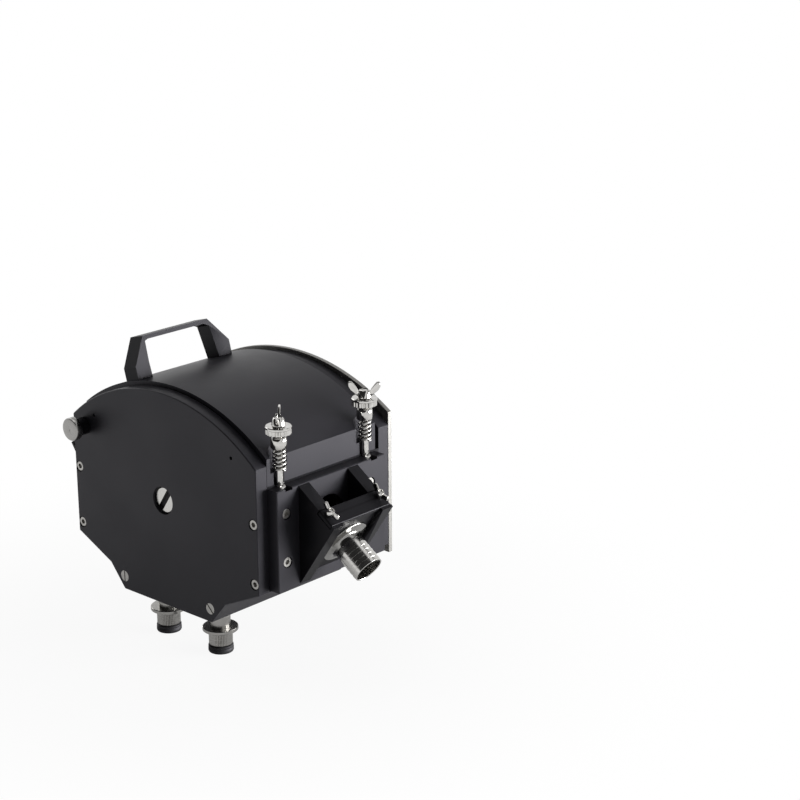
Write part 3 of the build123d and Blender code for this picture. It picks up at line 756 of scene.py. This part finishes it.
class PUMPHEAD_OT_wing_screws(Operator):
    """Make the small wing screws that hold the clamp bars"""
    bl_idname = "pump_head.wing_screws"
    bl_label = "Wing screws"

    def execute(self, context):
        for side in SIDES:
            for end in ENDS:
                name = f"wing_screw_{side}_{end}"
                hinge = HINGES[f"{name}_turn"]
                up = Vector(hinge["axis"])
                place = standing(hinge["pos_m"], up, (up.z, 0.0, -up.x))
                bm = bmesh.new()
                self.turn_boss(bm)
                for hand in (1, -1):
                    join(bm, self.ear(hand))
                make_piece(f"thumb_{name}", bm, place, name, polished_steel(), (name,), 45.0)
        return {"FINISHED"}

    def turn_boss(self, bm):
        """The shank under a boss whose top is recessed round a small dome."""
        boss, tall = 4.4 * MM, 7.0 * MM
        hole, recess = 2.7 * MM, 1.6 * MM
        shank, tip = 2.5 * MM, -25.6 * MM
        lathe(bm, [
            (0.0, tip), (shank - 0.4 * MM, tip), (shank, tip + 0.6 * MM), (shank, 0.0),
            (boss - 0.3 * MM, 0.0), (boss, 0.3 * MM), (boss, 0.5 * tall),
            (boss - 0.3 * MM, 0.85 * tall), (boss - 1.0 * MM, tall), (hole + 0.2 * MM, tall),
            (hole, tall - 0.3 * MM), (hole, tall - recess), (hole - 0.3 * MM, tall - recess),
            (1.6 * MM, tall - 0.9 * MM), (0.0, tall - 0.7 * MM),
        ], 40)

    def ear(self, hand):
        """One flat wing, rounded at its outer end and raised from the boss."""
        length, thick, width = 8.6 * MM, 2.3 * MM, 5.4 * MM
        reach, lift, rise = 7.2 * MM, 5.6 * MM, math.radians(24.0)
        ear = bmesh.new()
        bmesh.ops.create_cube(ear, size=1.0)
        bmesh.ops.scale(ear, vec=(length, thick, width), verts=ear.verts)
        outer = [edge for edge in ear.edges
                 if abs(edge.verts[0].co.y - edge.verts[1].co.y) > 1.0 * MM
                 and hand * edge.verts[0].co.x > 0]
        bmesh.ops.bevel(ear, geom=outer, offset=2.0 * MM, segments=6, profile=0.5,
                        affect="EDGES", material=-1)
        rims = [edge for edge in ear.edges if len(edge.link_faces) == 2
                and abs(edge.link_faces[0].normal.y - edge.link_faces[1].normal.y) > 0.9]
        bmesh.ops.bevel(ear, geom=rims, offset=0.6 * MM, segments=3, profile=0.5,
                        affect="EDGES", material=-1)
        seat = Matrix.Translation((hand * reach, 0.0, lift))
        raised = seat @ Matrix.Rotation(-hand * rise, 4, "Y")
        bmesh.ops.transform(ear, matrix=raised, verts=ear.verts)
        return ear


class PUMPHEAD_OT_hose_barbs(Operator):
    """Turn the hose barbs and their flanges"""
    bl_idname = "pump_head.hose_barbs"
    bl_label = "Hose barbs"

    def execute(self, context):
        mounts = {mount["name"]: mount for mount in frame["record"]["mounts"]}
        for side, hand in zip(SIDES, (-1.0, 1.0)):
            slope = HINGES[f"connector_lift_{side}"]["axis"]
            out = Vector((hand * slope[2], 0.0, -hand * slope[0]))
            mount = mounts[f"hose_bore_{side}"]
            place = standing(mount["pos_m"], out, (0.0, 1.0, 0.0))
            half = mount["dims"]["length_mm"] * MM / 2
            bore = (mount["dims"]["r_mm"] + 0.4) * MM
            tube = bore + 1.3 * MM
            bm = bmesh.new()
            lathe(bm, self.barb_profile(bore, tube, half), 96)
            make_piece(f"barb_{side}", bm, place, f"connector_{side}", barb_steel(side, out),
                       (f"hose_barb_{side}",), 24.0)
            bm = bmesh.new()
            wide = half_width(f"barb_flange_{side}", 1)
            lathe(bm, self.flange_profile(tube, wide, 10.0 * MM - half), 96)
            make_piece(f"flange_{side}", bm, place, f"connector_{side}", flange_steel_shaded(),
                       (f"barb_flange_{side}",), 40.0)
        return {"FINISHED"}

    def barb_profile(self, bore, tube, half):
        """A thin tube with five ribs towards its outer end."""
        ribs, pitch = 5, 5.2 * MM
        rib = tube + 0.5 * MM
        profile = [(bore, -half), (tube, -half), (tube, half - ribs * pitch)]
        for number in range(ribs):
            base = half - (ribs - number) * pitch
            profile += [(tube, base), (rib, base + 0.3 * MM),
                        (tube + 0.1 * MM, base + 0.97 * pitch)]
        return profile + [
            (tube, half - 0.2 * MM), (tube - 0.2 * MM, half), (bore + 0.2 * MM, half),
            (bore, half - 0.3 * MM), (bore, -half),
        ]

    def flange_profile(self, tube, wide, face):
        """A thin disc that runs into the tube with a hollow curve."""
        return [
            (tube, face), (wide - 0.3 * MM, face), (wide, face + 0.3 * MM),
            (wide, face + 2.0 * MM), (wide - 0.5 * MM, face + 2.6 * MM),
            (tube + 3.0 * MM, face + 3.0 * MM), (tube + 1.2 * MM, face + 4.0 * MM),
            (tube + 0.4 * MM, face + 6.0 * MM), (tube, face + 9.0 * MM), (tube, face),
        ]


class PUMPHEAD_OT_feet(Operator):
    """Turn the foot stems, knurl the adjusters and mould the rubber pads"""
    bl_idname = "pump_head.feet"
    bl_label = "Feet"

    def execute(self, context):
        posts = bmesh.new()
        for side in SIDES:
            join(posts, self.stem(middle(f"foot_pad_{side}")))
        make_piece("foot_stems", posts, Matrix.Identity(4), "frame", turned_foot_steel(),
                   ("foot_posts",), 40.0)
        for side in SIDES:
            self.adjuster(side)
            self.pad(side)
        return {"FINISHED"}

    def stem(self, centre):
        """A smooth stem over a flange and a thin stud."""
        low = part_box("foot_posts")[0][2]
        rim = half_width("foot_posts", 1)
        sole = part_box("lower_shell")[0][2] - 0.01 * MM
        stud, stem = 6.0 * MM, 11.0 * MM
        deck = low + 18 * MM
        under = deck - 4.0 * MM
        one = bmesh.new()
        lathe(one, [
            (0.0, low), (stud - 0.6 * MM, low), (stud, low + 0.8 * MM), (stud, under),
            (rim - 0.5 * MM, under), (rim, under + 0.5 * MM), (rim, deck - 0.6 * MM),
            (rim - 0.6 * MM, deck), (stem, deck), (stem, sole), (0.0, sole),
        ], 80)
        bmesh.ops.translate(one, vec=(centre.x, centre.y, 0.0), verts=one.verts)
        return one

    def adjuster(self, side):
        """The knurled body: a drum with every third corner cut in, and a lip at each end."""
        node = f"foot_body_{side}"
        rim = half_width(node)
        lip, groove = 1.0 * MM, 0.55 * MM
        bm = bmesh.new()
        bmesh.ops.create_cone(bm, cap_ends=True, segments=sizes().knurl_teeth * 3, radius1=rim,
                              radius2=rim, depth=length_of(node) - 2 * lip)
        ring = sorted(bm.verts, key=lambda vert: (vert.co.z > 0,
                                                  math.atan2(vert.co.y, vert.co.x)))
        bmesh.ops.scale(bm, vec=(1 - groove / rim, 1 - groove / rim, 1.0), verts=ring[::3])
        for up in (-1, 1):
            cap = max(bm.faces, key=lambda flat: up * flat.calc_center_median().z)
            moved = moved_verts(bmesh.ops.extrude_face_region(bm, geom=[cap]))
            bmesh.ops.translate(bm, vec=(0.0, 0.0, up * lip), verts=moved)
            bmesh.ops.scale(bm, vec=(1 - lip / rim, 1 - lip / rim, 1.0), verts=moved)
            # The extrusion leaves the old cap inside the body.
            bmesh.ops.delete(bm, geom=[cap], context="FACES_ONLY")
        bmesh.ops.recalc_face_normals(bm, faces=bm.faces)
        make_piece(f"knurled_adjuster_{side}", bm, Matrix.Translation(middle(node)), node,
                   turned_foot_steel(), (node,), 25.0)

    def pad(self, side):
        """The rubber pad, grooved round its side, on a short stud."""
        node = f"foot_pad_{side}"
        rim = half_width(node)
        tall = length_of(node) - 1.6 * MM
        groove = rim - 0.5 * MM
        stud, stud_top = 3.9 * MM, tall + 1.5 * MM
        bm = bmesh.new()
        lathe(bm, [
            (0.0, 0.0), (rim - 1.6 * MM, 0.0), (rim - 0.5 * MM, 0.4 * MM), (rim, 1.4 * MM),
            (rim, 0.55 * tall), (groove, 0.62 * tall), (groove, 0.7 * tall),
            (rim - 0.1 * MM, 0.78 * tall), (rim - 0.2 * MM, tall - 0.8 * MM),
            (rim - 1.0 * MM, tall), (stud, tall), (stud, stud_top), (0.0, stud_top),
        ], 72)
        make_piece(f"rubber_pad_{side}", bm, foot_of(node), f"foot_{side}", foot_rubber(),
                   (node,), 50.0)


class PUMPHEAD_OT_hinge_knob(Operator):
    """Turn the hinge pin's knob"""
    bl_idname = "pump_head.hinge_knob"
    bl_label = "Hinge knob"

    def execute(self, context):
        rim = half_width("hinge_knob")
        tall = length_of("hinge_knob", 1)
        shoulder = tall - 8.0 * MM
        bm = bmesh.new()
        lathe(bm, [
            (0.0, tall), (0.35 * MM, tall - 0.35 * MM), (0.9 * MM, tall - 0.05 * MM),
            (rim - 1.3 * MM, tall), (rim - 0.4 * MM, tall - 0.4 * MM), (rim, tall - 1.3 * MM),
            (rim, shoulder + 1.0 * MM), (rim - 0.8 * MM, shoulder), (0.0, shoulder),
        ], 80)
        pin, neck_r = 6.02 * MM, 9.4 * MM
        neck = bmesh.new()
        lathe(neck, [
            (pin, shoulder), (neck_r, shoulder), (neck_r, 0.4 * MM), (neck_r - 0.4 * MM, 0.0),
            (pin, 0.0), (pin, shoulder),
        ], 64)
        centre = middle("hinge_knob")
        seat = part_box("hinge_knob")[1][1]
        place = standing((centre.x, seat, centre.z), (0.0, -1.0, 0.0))
        steel = turned_steel("turned_knob", tuple(centre), 0.55)
        make_piece("pin_knob", bm, place, "hinge_pin", steel, ("hinge_knob",), 40.0)
        # The neck is given the darker black as painted shade in the pocket round the pin.
        make_piece("knob_neck", neck, place, "hinge_pin", shaded_black())
        return {"FINISHED"}


# ---- lamps, floor and world ------------------------------------------------
def area_light(name, place, target, size, power):
    """A soft lamp of a width and height, aimed at a point."""
    lamp = bpy.data.lights.new(name, "AREA")
    lamp.energy = power
    lamp.shape = "RECTANGLE"
    lamp.size, lamp.size_y = size
    shown = bpy.data.objects.new(name, lamp)
    bpy.context.scene.collection.objects.link(shown)
    shown.location = place
    shown.visible_camera = False
    shown.rotation_mode = "QUATERNION"
    shown.rotation_quaternion = (Vector(place) - Vector(target)).to_track_quat("Z", "Y")


def seen_directly(nodes, links):
    """1 for camera, glossy and transmission rays, so mirrors show what the camera shows."""
    path = nodes.new("ShaderNodeLightPath")
    seen = path.outputs["Is Camera Ray"]
    for kind in ("Is Glossy Ray", "Is Transmission Ray"):
        either = nodes.new("ShaderNodeMath")
        either.operation = "MAXIMUM"
        links.new(seen, either.inputs[0])
        links.new(path.outputs[kind], either.inputs[1])
        seen = either.outputs["Value"]
    return seen


def mixed(nodes, links, share, first, second):
    """Two shaders mixed by a share."""
    mix = nodes.new("ShaderNodeMixShader")
    links.new(share, mix.inputs["Fac"])
    links.new(first, mix.inputs[1])
    links.new(second, mix.inputs[2])
    return mix.outputs["Shader"]


def pale_floor(centre):
    """White floor: it keeps the object's shadow close by and fades to pure white further out."""
    pale = bpy.data.materials.new("pale_floor")
    pale.use_nodes = True
    nodes, links = pale.node_tree.nodes, pale.node_tree.links
    shader = nodes["Principled BSDF"]
    shader.inputs["Base Color"].default_value = (0.86, 0.86, 0.86, 1.0)
    shader.inputs["Roughness"].default_value = 0.9
    shader.inputs["Specular IOR Level"].default_value = 0.0
    apart = nodes.new("ShaderNodeVectorMath")
    apart.operation = "DISTANCE"
    apart.inputs[1].default_value = (centre.x, centre.y, 0.0)
    links.new(nodes.new("ShaderNodeTexCoord").outputs["Object"], apart.inputs[0])
    # Close to the object the floor glows strongly for the camera and faintly in mirrors.
    path = nodes.new("ShaderNodeLightPath")
    near = nodes.new("ShaderNodeMapRange")
    near.inputs["To Min"].default_value = 0.22
    near.inputs["To Max"].default_value = 0.92
    links.new(path.outputs["Is Camera Ray"], near.inputs["Value"])
    fade = nodes.new("ShaderNodeMapRange")
    fade.interpolation_type = "SMOOTHSTEP"
    fade.inputs["From Min"].default_value = 0.2
    fade.inputs["From Max"].default_value = 0.6
    fade.inputs["To Max"].default_value = 1.0
    links.new(near.outputs["Result"], fade.inputs["To Min"])
    links.new(apart.outputs["Value"], fade.inputs["Value"])
    glow = nodes.new("ShaderNodeEmission")
    plain = shader.outputs["BSDF"]
    lifted = mixed(nodes, links, fade.outputs["Result"], plain, glow.outputs["Emission"])
    surface = mixed(nodes, links, seen_directly(nodes, links), plain, lifted)
    links.new(surface, nodes["Material Output"].inputs["Surface"])
    return pale


def studio_world():
    """White behind the object, the SKY bands in mirrors, and a dim even light on the rest."""
    world = bpy.data.worlds.new("studio")
    world.use_nodes = True
    nodes, links = world.node_tree.nodes, world.node_tree.links
    dim = nodes["Background"]
    dim.inputs["Color"].default_value = WHITE
    dim.inputs["Strength"].default_value = 0.12
    split = nodes.new("ShaderNodeSeparateXYZ")
    links.new(nodes.new("ShaderNodeTexCoord").outputs["Generated"], split.inputs["Vector"])
    # The place in the bands runs from low behind to high in front: 0.4 + 0.4 z - 0.4 y.
    lean = 0.4
    raised = nodes.new("ShaderNodeMath")
    raised.operation = "MULTIPLY_ADD"
    raised.inputs[1].default_value = lean
    raised.inputs[2].default_value = lean
    links.new(split.outputs["Z"], raised.inputs[0])
    leaning = nodes.new("ShaderNodeMath")
    leaning.operation = "MULTIPLY_ADD"
    leaning.inputs[1].default_value = -lean
    links.new(split.outputs["Y"], leaning.inputs[0])
    links.new(raised.outputs["Value"], leaning.inputs[2])
    sky = nodes.new("ShaderNodeValToRGB")
    stops = sky.color_ramp.elements
    for stop, (place, level) in zip(stops, (SKY[0], SKY[-1])):
        stop.color = (level, level, level, 1.0)
    for place, level in SKY[1:]:
        stops.new(place).color = (level, level, level, 1.0)
    links.new(leaning.outputs["Value"], sky.inputs["Fac"])
    mirrored = nodes.new("ShaderNodeBackground")
    links.new(sky.outputs["Color"], mirrored.inputs["Color"])
    white = nodes.new("ShaderNodeBackground")
    white.inputs["Color"].default_value = WHITE
    path = nodes.new("ShaderNodeLightPath")
    shown = mixed(nodes, links, path.outputs["Is Camera Ray"],
                  mirrored.outputs["Background"], white.outputs["Background"])
    surface = mixed(nodes, links, seen_directly(nodes, links), dim.outputs["Background"], shown)
    links.new(surface, nodes["World Output"].inputs["Surface"])
    return world


class PUMPHEAD_OT_stage(Operator):
    """Lay the pale floor, hang the lamps and set the camera"""
    bl_idname = "pump_head.stage"
    bl_label = "Stage"

    def execute(self, context):
        scene = context.scene
        scene.view_settings.view_transform = "Standard"
        low, high = (Vector(corner) for corner in cad_box)
        centre = low.lerp(high, 0.5)
        self.lay_floor(scene, centre, low.z)
        scene.world = studio_world()
        area_light("left_panel", (-2.0, 0.2, 1.1), centre, (1.6, 1.6), 9.0)
        area_light("right_panel", (1.35, 0.95, 0.1), centre, (1.3, 0.5), 50.0)
        area_light("top_panel", (-0.3, -0.2, 1.9), centre, (1.2, 1.2), 7.0)
        self.set_camera(scene)
        return {"FINISHED"}

    def lay_floor(self, scene, centre, height):
        """A wide flat floor at a height."""
        bm = bmesh.new()
        bmesh.ops.create_grid(bm, x_segments=1, y_segments=1, size=6.0)
        bmesh.ops.translate(bm, vec=(0.0, 0.0, height), verts=bm.verts)
        mesh = bpy.data.meshes.new("floor")
        bm.to_mesh(mesh)
        bm.free()
        floor = bpy.data.objects.new("floor", mesh)
        scene.collection.objects.link(floor)
        mesh.materials.append(pale_floor(centre))

    def set_camera(self, scene):
        """A long lens, low over the right front corner."""
        azimuth, elevation, roll = (math.radians(turn) for turn in (42.224, 17.477, -0.297))
        distance = 2.0
        looked_at = Vector((0.2256, -0.0806, 0.1283))
        camera = bpy.data.cameras.new("camera")
        camera.lens = 91.36
        camera.sensor_width = 36.0
        shown = bpy.data.objects.new("camera", camera)
        scene.collection.objects.link(shown)
        back = Vector((
            math.sin(azimuth) * math.cos(elevation),
            -math.cos(azimuth) * math.cos(elevation),
            math.sin(elevation),
        ))
        level = back.to_track_quat("Z", "Y")
        shown.rotation_mode = "QUATERNION"
        shown.rotation_quaternion = level @ Matrix.Rotation(roll, 3, "Z").to_quaternion()
        shown.location = looked_at + distance * back
        scene.camera = shown


class PUMPHEAD_PT_panel(Panel):
    """Lists the pieces of the pump head"""
    bl_idname = "PUMPHEAD_PT_panel"
    bl_label = "Pump Head"
    bl_space_type = "VIEW_3D"
    bl_region_type = "UI"
    bl_category = "Pump Head"

    def draw(self, context):
        for group in (context.scene.pump_head_sizes, context.scene.pump_head_colours):
            for label in group.__annotations__:
                self.layout.prop(group, label)
        for operator in OPERATORS:
            self.layout.operator(operator.bl_idname)


OPERATORS = (
    PUMPHEAD_OT_housing,
    PUMPHEAD_OT_running_gear,
    PUMPHEAD_OT_disc_nuts,
    PUMPHEAD_OT_clamping_bolts,
    PUMPHEAD_OT_springs,
    PUMPHEAD_OT_wing_nuts,
    PUMPHEAD_OT_wing_screws,
    PUMPHEAD_OT_hose_barbs,
    PUMPHEAD_OT_feet,
    PUMPHEAD_OT_hinge_knob,
    PUMPHEAD_OT_stage,
)
CLASSES = (PumpHeadSizes, PumpHeadColours, PUMPHEAD_PT_panel) + OPERATORS


def register():
    for cls in CLASSES:
        bpy.utils.register_class(cls)
    bpy.types.Scene.pump_head_sizes = PointerProperty(type=PumpHeadSizes)
    bpy.types.Scene.pump_head_colours = PointerProperty(type=PumpHeadColours)


def unregister():
    del bpy.types.Scene.pump_head_colours
    del bpy.types.Scene.pump_head_sizes
    for cls in reversed(CLASSES):
        bpy.utils.unregister_class(cls)


def main():
    register()
    bpy.ops.pump_head.housing()
    bpy.ops.pump_head.running_gear()
    bpy.ops.pump_head.disc_nuts()
    bpy.ops.pump_head.clamping_bolts()
    bpy.ops.pump_head.springs()
    bpy.ops.pump_head.wing_nuts()
    bpy.ops.pump_head.wing_screws()
    bpy.ops.pump_head.hose_barbs()
    bpy.ops.pump_head.feet()
    bpy.ops.pump_head.hinge_knob()
    bpy.ops.pump_head.stage()


if __name__ == "__main__":
    main()
